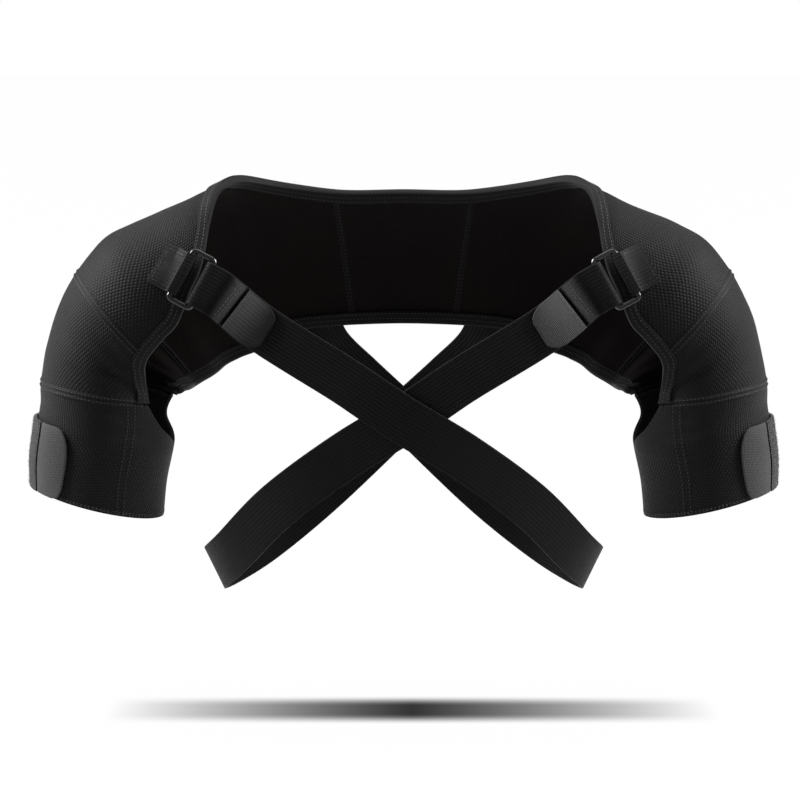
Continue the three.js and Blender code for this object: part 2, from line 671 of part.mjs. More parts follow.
function makeMaterials() {
  const finish = (color, roughness) => new THREE.MeshStandardMaterial({ color, roughness, metalness: 0 });
  return {
    cloth: finish(0x1b1b1d, 0.9),
    lining: finish(0x131214, 0.92),
    tape: finish(0x232325, 0.85),
    pile: finish(0x3a3a3c, 1),
    tab: finish(0x6c6d70, 0.75),
    strap: finish(0x161516, 0.85),
    webbing: finish(0x1e1e20, 0.8),
    plastic: finish(0x151517, 0.35),
  };
}

makePanels();
makeTapes();
makeClosures();
for (const [word, side] of [["left", -1], ["right", 1]]) {
  const frame = ringFrame(side);
  makeRing(frame, word);
  makeAnchor(frame, word);
  makeStrap(frame, word, side > 0);
}

export default brace;
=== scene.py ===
"""The looks of a double shoulder brace of black elastic cloth, in metres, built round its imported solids."""
import math
from functools import lru_cache

import bpy
import numpy as np
from mathutils.bvhtree import BVHTree
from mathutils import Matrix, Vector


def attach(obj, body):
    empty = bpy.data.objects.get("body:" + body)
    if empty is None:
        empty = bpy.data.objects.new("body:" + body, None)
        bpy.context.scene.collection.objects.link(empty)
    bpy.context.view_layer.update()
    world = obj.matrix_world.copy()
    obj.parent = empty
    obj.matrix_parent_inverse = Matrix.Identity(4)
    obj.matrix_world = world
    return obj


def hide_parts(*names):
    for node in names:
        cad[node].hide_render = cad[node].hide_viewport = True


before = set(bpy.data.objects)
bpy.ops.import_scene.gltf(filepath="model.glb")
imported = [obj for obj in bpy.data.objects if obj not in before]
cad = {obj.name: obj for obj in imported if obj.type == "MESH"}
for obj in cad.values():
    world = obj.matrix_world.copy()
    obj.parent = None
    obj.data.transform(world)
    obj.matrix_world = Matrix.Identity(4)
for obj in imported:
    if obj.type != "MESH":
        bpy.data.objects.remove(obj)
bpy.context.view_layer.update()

# The studio: a wide pale floor under the hanging brace, a soft light on each side that draws the grey
# sheen on the outer shoulders, a weak one in front and one above. The camera looks down by eight degrees.
# The sky is white to the camera and faint to everything else. The lights leave the floor out, and a sun that
# lights nothing else, and that the brace doesn't block, makes it an even white; the brace's shadow on it is a
# painted shadow, laid into the floor's colour at the end.
FLOOR_Z = -0.41
FLOOR_GREY = 0.95
SKY_LIGHT = 0.09
AIM = (-0.003, 0.0, -0.164)
CAMERA_DISTANCE = 2.2
CAMERA_RISE = math.radians(8)

camera_data = bpy.data.cameras.new("camera")
camera_data.lens = 126.9
camera_data.sensor_width = 36
camera = bpy.data.objects.new("camera", camera_data)
camera.location = (
    AIM[0],
    AIM[1] - CAMERA_DISTANCE * math.cos(CAMERA_RISE),
    AIM[2] + CAMERA_DISTANCE * math.sin(CAMERA_RISE),
)
camera.rotation_euler = (math.pi / 2 - CAMERA_RISE, 0, 0)
bpy.context.scene.collection.objects.link(camera)
bpy.context.scene.camera = camera

LIGHTS = [  # name, place, aim, width, height, power
    ("side_light_left", (-1.4, 0.1, 0.8), (-0.2, 0, -0.05), 0.6, 1.0, 66),
    ("side_light_right", (1.4, 0.0, 0.8), (0.2, 0, -0.05), 0.6, 1.0, 56),
    ("front_light", (0.9, -2.4, 1.5), (0, 0, -0.2), 2.0, 1.4, 3.5),
    ("top_light", (0.0, 0.2, 1.9), (0, 0, -0.1), 1.6, 1.0, 16),
]
for light_name, light_place, light_aim, light_width, light_height, power in LIGHTS:
    light_data = bpy.data.lights.new(light_name, "AREA")
    light_data.shape = "RECTANGLE"
    light_data.size = light_width
    light_data.size_y = light_height
    light_data.energy = power
    light = bpy.data.objects.new(light_name, light_data)
    light.location = light_place
    toward = Vector(light_aim) - Vector(light_place)
    light.rotation_euler = toward.to_track_quat("-Z", "Y").to_euler()
    bpy.context.scene.collection.objects.link(light)

world = bpy.data.worlds.new("studio")
world.use_nodes = True
sky = world.node_tree.nodes["Background"]
sky.inputs["Color"].default_value = (1, 1, 1, 1)
seen = world.node_tree.nodes.new("ShaderNodeLightPath")
brightness = world.node_tree.nodes.new("ShaderNodeMapRange")
brightness.inputs["To Min"].default_value = SKY_LIGHT
brightness.inputs["To Max"].default_value = 1.0
world.node_tree.links.new(seen.outputs["Is Camera Ray"], brightness.inputs["Value"])
world.node_tree.links.new(brightness.outputs["Result"], sky.inputs["Strength"])
bpy.context.scene.world = world
bpy.context.scene.view_settings.view_transform = "Standard"

sun_data = bpy.data.lights.new("floor_sun", "SUN")
sun_data.energy = 3.1
sun_data.angle = 0.35
sun = bpy.data.objects.new("floor_sun", sun_data)
bpy.context.scene.collection.objects.link(sun)

bpy.ops.object.select_all(action="DESELECT")
bpy.ops.mesh.primitive_plane_add(size=40, location=(0, 0, FLOOR_Z))
floor = bpy.context.active_object
floor.name = "floor"
floor_paint = bpy.data.materials.new("floor")
floor_paint.use_nodes = True
floor_shader = floor_paint.node_tree.nodes["Principled BSDF"]
floor_shader.inputs["Roughness"].default_value = 0.9
floor_shader.inputs["Specular IOR Level"].default_value = 0.1
floor.data.materials.append(floor_paint)

brace_only = bpy.data.collections.new("lights_for_the_brace")
brace_only.objects.link(floor)
brace_only.collection_objects[0].light_linking.link_state = "EXCLUDE"
for light_name, *_ in LIGHTS:
    bpy.data.objects[light_name].light_linking.receiver_collection = brace_only
floor_only = bpy.data.collections.new("lights_for_the_floor")
floor_only.objects.link(floor)
sun.light_linking.receiver_collection = floor_only
sun.light_linking.blocker_collection = floor_only

# The back panel: a sheet of 3 mm cushioned cloth whose brown-black knit lining shows between the
# shoulders. It is cut to the same sections as the other panels and sewn to them edge to edge, so the
# sections of the whole shell, from the middle of the back to a cuff's hem, are given here.
ARM_REACH = 0.281
ARM_DROP = 0.230
BACK_DEPTH = 0.092
FRONT_DEPTH = 0.060
CLOTH = 0.003
SEAM_GAP = 0.0006
COLUMNS = {  # of SECTIONS: its place in a row, and the size that it is a share of
    "out": (0, ARM_REACH),
    "up": (1, ARM_DROP),
    "lean": (2, 1),
    "rise_front": (3, ARM_DROP),
    "rise_back": (4, ARM_DROP),
    "deep_front": (5, FRONT_DEPTH),
    "deep_back": (6, BACK_DEPTH),
    "edge_front": (7, 1),
    "edge_back": (8, 1),
}
SECTIONS = np.array([
    (0.0, 0.13, 0, 0.365, 0.617, 0.77, 1.0, 42, 90),
    (0.212, 0.117, 7.5, 0.365, 0.609, 0.77, 1.0, 40.5, 90.5),
    (0.37, 0.078, 12, 0.357, 0.565, 0.77, 0.978, 30, 93),
    (0.452, 0.046, 15, 0.348, 0.543, 0.77, 0.967, 14.5, 94.4),
    (0.504, 0.013, 17, 0.348, 0.53, 0.783, 0.957, -8, 95.6),
    (0.552, -0.013, 19.5, 0.348, 0.522, 0.8, 0.946, -40, 97),
    (0.605, -0.043, 22, 0.348, 0.504, 0.95, 0.924, -63, 99),
    (0.676, -0.08, 25, 0.339, 0.47, 0.983, 0.891, -78, 103.4),
    (0.754, -0.12, 30, 0.313, 0.426, 1.0, 0.848, -95.4, 112),
    (0.829, -0.174, 36, 0.287, 0.374, 1.017, 0.793, -105.7, 125.5),
    (0.899, -0.281, 42.5, 0.27, 0.322, 1.0, 0.728, -109, 134.6),
    (0.95, -0.396, 55, 0.243, 0.27, 0.967, 0.674, -119.5, 150),
    (0.982, -0.517, 68, 0.226, 0.243, 0.95, 0.652, -127.4, 156),
    (1.0, -0.646, 82, 0.226, 0.23, 0.95, 0.63, -129.4, 152.5),
    (1.005, -0.726, 81.5, 0.228, 0.228, 0.933, 0.62, -146, 144),
    (1.014, -0.8, 80.5, 0.228, 0.228, 0.933, 0.609, -180, 180),
    (1.025, -0.9, 78.5, 0.224, 0.224, 0.9, 0.587, -180, 180),
    (1.025, -1.0, 76, 0.22, 0.22, 0.867, 0.565, -180, 180),
])
BACK_SEAM = 1
SLANTING_SEAM = 10
CUFF_SEAM = 13
CUFF_CLOSES = 15
HEM = 17
SIDES = (("left", -1), ("right", 1))


def unit(vectors):
    return vectors / np.linalg.norm(vectors, axis=-1, keepdims=True)


def lengths_along(points):
    """The length from the start of a line of points to each of them, or of each line down a grid."""
    steps = np.linalg.norm(np.diff(points, axis=0), axis=-1)
    return np.concatenate([np.zeros((1, *steps.shape[1:])), np.cumsum(steps, 0)])


def sampled(at, lengths, vectors):
    """Vectors that are given at some lengths, read at others."""
    return np.stack([np.interp(at, lengths, vectors[:, k]) for k in range(3)], 1)


def measure(name, place):
    """One measure of the shell's sections, at places along it; those at -X are negative."""
    column, unit = COLUMNS[name]
    reach = np.abs(np.asarray(place, float))
    first = np.minimum(np.floor(reach), HEM - 1).astype(int)
    share = reach - first
    before, here, after, beyond = [
        SECTIONS[np.minimum(np.abs(first + k), HEM), column]
        * np.where((first + k < 0) & (name in ("out", "lean")), -1, 1)
        for k in (-1, 0, 1, 2)
    ]
    bend = (2 * before - 5 * here + 4 * after - beyond) * share**2
    bend = bend + (3 * here - 3 * after + beyond - before) * share**3
    value = 0.5 * (2 * here + (after - before) * share + bend)
    if name == "edge_front":
        value = np.where(reach >= CUFF_CLOSES, -180, np.maximum(value, -180))
    if name == "edge_back":
        value = np.where(reach >= CUFF_CLOSES, 180, np.minimum(value, 180))
    return value * unit


def on_cloth(place, angle):
    """The middle of the cloth, at angles in degrees from each section's crown."""
    place, angle = np.broadcast_arrays(np.asarray(place, float), np.asarray(angle, float))
    front = angle < 0
    rise = np.where(front, measure("rise_front", place), measure("rise_back", place))
    deep = np.where(front, measure("deep_front", place), measure("deep_back", place))
    down = rise * (1 - np.cos(np.radians(angle)))
    lean = np.radians(measure("lean", place))
    side = np.where(place < 0, -1, 1)
    x = side * (measure("out", place) - down * np.sin(lean))
    return np.stack([x, deep * np.sin(np.radians(angle)), measure("up", place) - down * np.cos(lean)], -1)


def cloth_normal(place, angle):
    along = on_cloth(np.asarray(place) + 0.02, angle) - on_cloth(np.asarray(place) - 0.02, angle)
    across = on_cloth(place, np.asarray(angle) + 0.5) - on_cloth(place, np.asarray(angle) - 0.5)
    return unit(np.cross(along, across))


def off_cloth(place, angle, distance):
    distance = np.asarray(distance, float)
    return on_cloth(place, angle) + cloth_normal(place, angle) * distance[..., None]


@lru_cache(maxsize=None)
def section_lengths(place):
    """The angles across a section from its front edge to its back one, and the lengths to them."""
    angles = np.linspace(measure("edge_front", place), measure("edge_back", place), 241)
    return angles, lengths_along(on_cloth(place, angles))


def angles_at(place, shares=None, lengths=None):
    """The angles at shares of a section's width or at lengths from its front edge, and the width.

    A negative length runs from the back edge.
    """
    angles, sums = section_lengths(float(place))
    wanted = np.asarray(shares) * sums[-1] if lengths is None else np.asarray(lengths, float)
    wanted = np.where(wanted < 0, wanted + sums[-1], wanted)
    return np.interp(wanted, sums, angles), sums[-1]


def seam_place(place, towards):
    """Where a panel ends beside a seam: half the gap away, towards 1 or -1 along the sections."""
    spacing = np.linalg.norm(on_cloth(place + 0.1, 0) - on_cloth(place, 0)) / 0.1
    return place + towards * SEAM_GAP / 2 / spacing


def read_vectors(items, name):
    """One vector of each vertex or face of a mesh."""
    values = np.zeros(len(items) * 3)
    items.foreach_get(name, values)
    return values.reshape(-1, 3)


def lay_uv(mesh, places):
    """Gives each corner of a mesh its vertex's place across and along the cloth, in metres."""
    corners = np.zeros(len(mesh.loops), int)
    mesh.loops.foreach_get("vertex_index", corners)
    layer = mesh.uv_layers[0] if mesh.uv_layers else mesh.uv_layers.new(name="UVMap")
    layer.data.foreach_set("uv", places[corners].reshape(-1))


def grid_piece(name, points, across, along):
    """A sheet over a grid of points, with a UV map in metres."""
    rows, width = points.shape[:2]
    bpy.ops.object.select_all(action="DESELECT")
    bpy.ops.mesh.primitive_grid_add(x_subdivisions=width - 1, y_subdivisions=rows - 1, size=1)
    piece = bpy.context.active_object
    piece.name = name
    mesh = piece.data
    mesh.name = name
    mesh.vertices.foreach_set("co", points.reshape(-1))
    lay_uv(mesh, np.stack([across.reshape(-1), along.reshape(-1)], 1))
    mesh.update()
    return piece


def mesh_piece(name, points, faces):
    """A piece made from its vertices' points and its faces."""
    mesh = bpy.data.meshes.new(name)
    mesh.from_pydata(points.reshape(-1, 3).tolist(), [], faces)
    mesh.update()
    piece = bpy.data.objects.new(name, mesh)
    bpy.context.scene.collection.objects.link(piece)
    return piece


def apply_all(piece):
    for modifier in list(piece.modifiers):
        bpy.ops.object.modifier_apply(modifier=modifier.name)


def thicken(piece, thickness, offset, rim=0.0004):
    """Gives a sheet its thickness and softens its rim."""
    wall = piece.modifiers.new("wall", "SOLIDIFY")
    wall.thickness = thickness
    wall.offset = offset
    wall.use_even_offset = True
    soft_rim = piece.modifiers.new("soft_rim", "BEVEL")
    soft_rim.width = rim
    soft_rim.segments = 2
    soft_rim.angle_limit = math.radians(50)
    apply_all(piece)
    bpy.ops.object.shade_smooth()


def face_outward(piece, outward, index=None):
    """Flips a sheet if one of its faces, by default the middle one, looks against the outward direction."""
    faces = piece.data.polygons
    face = faces[len(faces) // 2 if index is None else index]
    if face.normal.dot(Vector(outward)) < 0:
        bpy.ops.object.mode_set(mode="EDIT")
        bpy.ops.mesh.select_all(action="SELECT")
        bpy.ops.mesh.flip_normals()
        bpy.ops.object.mode_set(mode="OBJECT")


DENT_DEPTH = 0.0009
CREASE_DEPTH = 0.0016
ARMPIT = 12.5
RIPPLE_START = 0.009
RIPPLE_FADE = 0.02
PINCH_DEPTH = 0.0011
PINCH_REACH = 0.0016


def ripple(place, share):
    """How far the worn cloth sinks at a point, in metres: soft dents, and creases that fan at the armpit."""
    reach = np.hypot(place, 0.3)
    turn = np.clip(place, -1, 1)
    dents = 0.5 + 0.5 * np.sin(2.1 * reach + 3.0 * share) * np.sin(9.0 * share - 1.3 * reach + turn)
    creases = 0.5 + 0.5 * np.sin(6.5 * reach + 15.0 * share)
    at_edges = np.exp(-(((share - 1) / 0.3) ** 2)) + np.exp(-((share / 0.25) ** 2))
    at_armpit = np.exp(-(((reach - ARMPIT) / 2.2) ** 2)) * at_edges
    return DENT_DEPTH * dents + CREASE_DEPTH * creases * at_armpit


def panel(name, node, start, end, rows, width, seams):
    """One panel of the shell, whose cloth is pinched down into its seams."""
    places = np.linspace(start, end, rows)
    shares = np.linspace(0, 1, width)
    angles = np.zeros((rows, width))
    across = np.zeros((rows, width))
    for i, place in enumerate(places):
        angles[i], total = angles_at(place, shares)
        across[i] = shares * total
    grid = np.repeat(places[:, None], width, 1)
    along = lengths_along(on_cloth(grid, angles))
    inner_edge = np.minimum(across, across[:, -1:] - across)
    sink = ripple(grid, shares[None, :]) * np.clip((inner_edge - RIPPLE_START) / RIPPLE_FADE, 0, 1)
    for sewn, distance in zip(seams, (along, along[-1:] - along)):
        if sewn:
            pinch = PINCH_DEPTH * np.exp(-((distance / PINCH_REACH) ** 2))
            sink = np.maximum(sink * np.clip(distance / RIPPLE_FADE, 0, 1), pinch)
    points = off_cloth(grid, angles, CLOTH / 2 - sink)
    mean = np.repeat(across.mean(0)[None], rows, 0)
    piece = grid_piece(name, points, mean, along * (-1 if start + end < 0 else 1))
    row, column = rows // 2, width // 2
    face_outward(piece, cloth_normal(grid[row, column], angles[row, column]))
    bpy.ops.object.mode_set(mode="EDIT")
    bpy.ops.mesh.select_all(action="SELECT")
    bpy.ops.mesh.remove_doubles(threshold=0.00005)
    bpy.ops.object.mode_set(mode="OBJECT")
    thicken(piece, CLOTH, -1)
    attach(piece, "root")
    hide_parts(node)
    return piece


def node_of(tree, kind, inputs=(), **settings):
    """A shader node with its settings and inputs; an input is a value or another node's output."""
    node = tree.nodes.new(kind)
    for key, value in settings.items():
        setattr(node, key, value)
    for key, value in dict(inputs).items():
        if isinstance(value, bpy.types.NodeSocket):
            tree.links.new(value, node.inputs[key])
        else:
            node.inputs[key].default_value = value
    return node


def math_of(tree, operation, first, second=0.0):
    return node_of(tree, "ShaderNodeMath", {0: first, 1: second}, operation=operation).outputs[0]


def new_group(name, inputs, outputs):
    group = bpy.data.node_groups.new(name, "ShaderNodeTree")
    for socket, kind, value in inputs:
        made = group.interface.new_socket(name=socket, in_out="INPUT", socket_type=kind)
        if value is not None:
            made.default_value = value
    for socket, kind in outputs:
        group.interface.new_socket(name=socket, in_out="OUTPUT", socket_type=kind)
    return group, group.nodes.new("NodeGroupInput"), group.nodes.new("NodeGroupOutput")


def honeycomb_group():
    """Three crossed waves that make a honeycomb of small knitted cells."""
    group, given, out = new_group(
        "honeycomb knit",
        [("Vector", "NodeSocketVector", None), ("Pitch", "NodeSocketFloat", 0.003)],
        [("Height", "NodeSocketFloat")],
    )
    turn = math_of(group, "DIVIDE", 2 * math.pi / 0.866, given.outputs["Pitch"])
    total = None
    for degrees in (90, 210, 330):
        direction = (math.cos(math.radians(degrees)), math.sin(math.radians(degrees)), 0)
        dot = node_of(
            group, "ShaderNodeVectorMath", {0: given.outputs["Vector"], 1: direction}, operation="DOT_PRODUCT"
        )
        wave = math_of(group, "COSINE", math_of(group, "MULTIPLY", dot.outputs["Value"], turn))
        total = wave if total is None else math_of(group, "ADD", total, wave)
    shaped = node_of(
        group,
        "ShaderNodeMapRange",
        {"Value": total, "From Min": -1.4, "From Max": 1.6},
        interpolation_type="SMOOTHSTEP",
    )
    group.links.new(shaped.outputs["Result"], out.inputs["Height"])
    return group


def yarn_group():
    """Crossed fine waves: the loops of a plain knit or the ribs of a webbing, by the two pitches."""
    group, given, out = new_group(
        "yarns",
        [
            ("Vector", "NodeSocketVector", None),
            ("Across", "NodeSocketFloat", 0.001),
            ("Along", "NodeSocketFloat", 0.001),
            ("Along Share", "NodeSocketFloat", 0.5),
        ],
        [("Height", "NodeSocketFloat")],
    )
    parts = node_of(group, "ShaderNodeSeparateXYZ", {0: given.outputs["Vector"]})
    waves = []
    for axis, pitch in (("X", "Across"), ("Y", "Along")):
        turn = math_of(group, "DIVIDE", 2 * math.pi, given.outputs[pitch])
        wave = math_of(group, "COSINE", math_of(group, "MULTIPLY", parts.outputs[axis], turn))
        waves.append(wave)
    weaker = math_of(group, "MULTIPLY", waves[1], given.outputs["Along Share"])
    total = math_of(group, "ADD", waves[0], weaker)
    shaped = node_of(group, "ShaderNodeMapRange", {"Value": total, "From Min": -1.5, "From Max": 1.5})
    group.links.new(shaped.outputs["Result"], out.inputs["Height"])
    return group


def heather_group():
    """Uneven dye and a little lint: a slow and a fine noise that mix a dark and a light shade."""
    group, given, out = new_group(
        "heather",
        [
            ("Vector", "NodeSocketVector", None),
            ("Dark", "NodeSocketColor", (0.02, 0.02, 0.02, 1)),
            ("Light", "NodeSocketColor", (0.05, 0.05, 0.05, 1)),
            ("Fine Scale", "NodeSocketFloat", 900.0),
            ("Slow Scale", "NodeSocketFloat", 14.0),
        ],
        [("Color", "NodeSocketColor"), ("Value", "NodeSocketFloat")],
    )
    where = given.outputs["Vector"]
    fine = node_of(group, "ShaderNodeTexNoise", {"Vector": where, "Scale": given.outputs["Fine Scale"]})
    slow = node_of(group, "ShaderNodeTexNoise", {"Vector": where, "Scale": given.outputs["Slow Scale"]})
    total = math_of(group, "MULTIPLY", math_of(group, "ADD", fine.outputs[0], slow.outputs[0]), 0.5)
    spread = node_of(group, "ShaderNodeMapRange", {"Value": total, "From Min": 0.33, "From Max": 0.68})
    mix = node_of(
        group,
        "ShaderNodeMix",
        {0: spread.outputs["Result"], 6: given.outputs["Dark"], 7: given.outputs["Light"]},
        data_type="RGBA",
    )
    group.links.new(mix.outputs[2], out.inputs["Color"])
    group.links.new(spread.outputs["Result"], out.inputs["Value"])
    return group


HONEYCOMB = honeycomb_group()
YARNS = yarn_group()
HEATHER = heather_group()


def cloth_finish(name, dark, light, pattern, strength, depth, roughness, sheen, fine=900.0):
    """Cloth: a pattern on the piece's UV map for relief; heathered colour with painted shade in the relief's
    hollows.
    """
    material = bpy.data.materials.new(name)
    material.use_nodes = True
    tree = material.node_tree
    shader = tree.nodes["Principled BSDF"]
    place = node_of(tree, "ShaderNodeTexCoord")
    kind, values = pattern
    relief = node_of(tree, "ShaderNodeGroup", node_tree=kind)
    tree.links.new(place.outputs["UV"], relief.inputs["Vector"])
    for key, value in values.items():
        relief.inputs[key].default_value = value
    heather = node_of(tree, "ShaderNodeGroup", node_tree=HEATHER)
    tree.links.new(place.outputs["Object"], heather.inputs["Vector"])
    heather.inputs["Dark"].default_value = (*dark, 1)
    heather.inputs["Light"].default_value = (*light, 1)
    heather.inputs["Fine Scale"].default_value = fine
    # Painted shade: the colour is multiplied down to 0.35 where the relief is low, in the knit's hollows and
    # grooves.
    shade = node_of(
        tree, "ShaderNodeMapRange", {"Value": relief.outputs["Height"], "To Min": 0.35, "To Max": 1.0}
    )
    painted_relief_shade = node_of(
        tree,
        "ShaderNodeCombineColor",
        {0: shade.outputs["Result"], 1: shade.outputs["Result"], 2: shade.outputs["Result"]},
    )
    colour = node_of(
        tree,
        "ShaderNodeMix",
        {0: 1.0, 6: heather.outputs["Color"], 7: painted_relief_shade.outputs["Color"]},
        data_type="RGBA",
        blend_type="MULTIPLY",
    )
    rough = node_of(
        tree,
        "ShaderNodeMapRange",
        {"Value": heather.outputs["Value"], "To Min": roughness - 0.06, "To Max": roughness + 0.06},
    )
    fuzz = math_of(tree, "MULTIPLY", heather.outputs["Value"], 0.35)
    total = math_of(tree, "ADD", relief.outputs["Height"], fuzz)
    bump = node_of(tree, "ShaderNodeBump", {"Height": total, "Strength": strength, "Distance": depth})
    tree.links.new(colour.outputs[2], shader.inputs["Base Color"])
    tree.links.new(rough.outputs["Result"], shader.inputs["Roughness"])
    tree.links.new(bump.outputs["Normal"], shader.inputs["Normal"])
    shader.inputs["Sheen Weight"].default_value = sheen
    shader.inputs["Sheen Roughness"].default_value = 0.45
    shader.inputs["Specular IOR Level"].default_value = 0.09
    return material


def wear(piece, *materials):
    piece.data.materials.clear()
    for material in materials:
        piece.data.materials.append(material)


honeycomb_knit = cloth_finish(
    "honeycomb knit", (0.0045, 0.0043, 0.0045), (0.0125, 0.012, 0.0125),
    (HONEYCOMB, {"Pitch": 0.0025}), 0.55, 0.0006, 0.6, 0.06,
)
lining_knit = cloth_finish(
    "lining knit", (0.0045, 0.0032, 0.0031), (0.013, 0.0088, 0.0082),
    (YARNS, {"Across": 0.0014, "Along": 0.0018, "Along Share": 0.8}), 0.5, 0.0005, 0.8, 0.03,
)
back_end = seam_place(BACK_SEAM, -1)
back_panel = panel("back_panel_cloth", "back_panel", -back_end, back_end, 70, 60, (True, True))
wear(back_panel, honeycomb_knit, lining_knit)
for polygon in back_panel.data.polygons:
    polygon.material_index = int(polygon.normal.y < 0)

# The shoulder panels, upper arm panels and arm cuffs: the same cushioned sheet with a fine honeycomb
# knit outside and the brown-black lining inside. The panels butt together in flat seams, and each cuff is a
# tube that closes under the arm below a short notch.


def face_inside_with_lining(piece):
    """Gives the lining to the faces that look towards the nearest of the sections' middles."""
    mesh = piece.data
    centres = read_vectors(mesh.polygons, "center")
    normals = read_vectors(mesh.polygons, "normal")
    places = np.linspace(1, HEM, 120)
    lean = np.radians(measure("lean", places))
    rise = 0.5 * (measure("rise_front", places) + measure("rise_back", places))
    hearts = on_cloth(places, 0) - np.stack([np.sin(lean) * rise, 0 * rise, np.cos(lean) * rise], 1)
    hearts[:, 0] *= np.sign(centres[:, 0].mean())
    distance = np.linalg.norm(centres[:, None, :] - hearts[None], axis=2)
    nearest = hearts[np.argmin(distance, 1)]
    inward = ((centres - nearest) * normals).sum(1) < 0
    mesh.polygons.foreach_set("material_index", inward.astype(np.int32))
    mesh.update()


PANELS = [  # name, node, the places of its two ends, rows, width, whether each end is a seam
    (
        "shoulder_cloth", "shoulder_panel",
        (seam_place(BACK_SEAM, 1), seam_place(SLANTING_SEAM, -1)), 120, 96, (True, True),
    ),
    (
        "upper_arm_cloth", "upper_arm_panel",
        (seam_place(SLANTING_SEAM, 1), seam_place(CUFF_SEAM, -1)), 64, 96, (True, True),
    ),
    ("arm_cuff_cloth", "arm_cuff", (seam_place(CUFF_SEAM, 1), HEM), 72, 110, (True, False)),
]
for word, side in SIDES:
    for panel_name, panel_node, ends, rows, width, seams in PANELS:
        start, end = side * ends[0], side * ends[1]
        piece = panel(f"{panel_name}_{word}", f"{panel_node}_{word}", start, end, rows, width, seams)
        wear(piece, honeycomb_knit, lining_knit)
        face_inside_with_lining(piece)

# The edge bindings: an 8 mm tape folded over the neck edge and over the lower edge, a hair proud of the
# cloth on both faces, and sewn down with two rows of lockstitch.
TAPE = 0.001
TAPE_WIDTH = 0.008
TAPE_GAP = 0.00085
TAPE_LINES = np.array([1, 0.66, 0.33, 0.02])  # shares of its width, from its sewn side to the fold
FOLD_CLEARANCE = 0.0004
INWARD = {"edge_front": 1, "edge_back": -1}  # which way the angles run from an edge into the cloth
tape_cloth = cloth_finish(
    "edge tape", (0.0055, 0.0055, 0.0058), (0.014, 0.014, 0.0145),
    (YARNS, {"Across": 0.0009, "Along": 0.0007, "Along Share": 0.6}), 0.35, 0.0003, 0.6, 0.06,
)


@lru_cache(maxsize=None)
def tape_reach(place, edge):
    """How long the tape's width is along a section, where the edge runs aslant to it."""
    def edge_point(at):
        return on_cloth(at, measure(edge, at))

    along = edge_point(place + 0.05) - edge_point(place - 0.05)
    here = measure(edge, place)
    across = on_cloth(place, here + INWARD[edge]) - on_cloth(place, here)
    sine = np.linalg.norm(np.cross(unit(across), unit(along)))
    return min(TAPE_WIDTH / sine, 2.5 * TAPE_WIDTH)


def tape_places():
    """Places along a tape from cuff to cuff, closest together where it bends round the shoulders."""
    bends = np.linspace(2.6, 7, 90)
    half = np.concatenate([
        np.linspace(0, bends[0], 36)[:-1], bends[:-1], np.linspace(bends[-1], seam_place(CUFF_SEAM, -1), 70)
    ])
    return [float(place) for place in np.concatenate([-half[:0:-1], half])]


def folded_tape(name, node, edge):
    """A tape folded over one edge: its outer face, the fold round the cloth's rim, and its inner face."""
    inner = CLOTH / 2 + TAPE_GAP
    sign = INWARD[edge]
    turns = np.radians(np.linspace(75, -75, 7))[:, None]
    rows = []
    for place in tape_places():
        angles, _ = angles_at(place, lengths=sign * tape_reach(place, edge) * TAPE_LINES)
        here = float(measure(edge, place))
        rim = on_cloth(place, here)
        outward = unit(rim - on_cloth(place, here + sign * 2))
        normal = cloth_normal(place, here)
        fold = rim + outward * (TAPE_GAP * np.cos(turns) + FOLD_CLEARANCE) + normal * inner * np.sin(turns)
        rows.append(np.concatenate([
            off_cloth(place, angles, inner), fold, off_cloth(place, angles[::-1], -inner)
        ]))
    points = np.array(rows)
    count, width = points.shape[:2]
    along = np.repeat(lengths_along(points[:, len(TAPE_LINES) + 3])[:, None], width, 1)
    widths = np.linalg.norm(np.diff(points, axis=1), axis=2).mean(0)
    across = np.repeat(np.concatenate([[0], np.cumsum(widths)])[None], count, 0)
    piece = grid_piece(name, points, across, along)
    face_outward(piece, cloth_normal(0.01, float(measure(edge, 0.01))), count // 2 * (width - 1))
    thicken(piece, TAPE, 1, 0.0003)
    wear(piece, tape_cloth)
    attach(piece, "root")
    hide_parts(node)


folded_tape("neck_binding_tape", "neck_binding", "edge_front")
folded_tape("lower_binding_tape", "lower_binding", "edge_back")

# The cuff closures: a dark heathered band of loop pile round the outside of each cuff, and a light grey
# hook tab with a rounded end that comes round from the front and grips it.
FLAP = 0.0025
TAB = 0.0016
CLOSURE_GAP = 0.0006
CLOSURE_TOP = 14.55  # a place along the sections, as the bottom is, and angles in degrees below
CLOSURE_BOTTOM = 16.94
TAB_END = -66
TAB_START = -33
FLAP_START = -32
FLAP_END = 150
TAB_ROUNDING = 14
pile_cloth = cloth_finish(
    "loop pile", (0.008, 0.008, 0.009), (0.06, 0.06, 0.063),
    (YARNS, {"Across": 0.0021, "Along": 0.0019, "Along Share": 0.9}), 0.9, 0.0012, 0.9, 0.2, 520.0,
)
hook_cloth = cloth_finish(
    "hook tab", (0.026, 0.026, 0.027), (0.062, 0.062, 0.064),
    (YARNS, {"Across": 0.0013, "Along": 0.0013, "Along Share": 1.0}), 0.5, 0.0004, 0.62, 0.2,
)


def closure_layer(name, node, side, start_of, end, columns, low, thickness):
    """A layer on the cuff between two angles; its start may follow the tab's rounded end."""
    places = np.linspace(CLOSURE_TOP, CLOSURE_BOTTOM, 40)
    shares = (places - CLOSURE_TOP) / (CLOSURE_BOTTOM - CLOSURE_TOP) * 2 - 1
    angles = np.array([np.linspace(start_of(share), end, columns) for share in shares])
    grid = np.repeat((side * places)[:, None], columns, 1)
    points = off_cloth(grid, angles, low)
    piece = grid_piece(name, points, lengths_along(points.swapaxes(0, 1)).T, lengths_along(points))
    row, column = len(places) // 2, columns // 2
    face_outward(piece, cloth_normal(grid[row, column], angles[row, column]))
    thicken(piece, thickness, 1, 0.0005)
    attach(piece, "root")
    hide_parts(node)
    return piece


def tab_outline(share):
    """The angle where the tab starts, at a share from -1 to 1 of its height: a rounded end."""
    return TAB_END + TAB_ROUNDING * (1 - math.sqrt(max(0, 1 - share * share)))


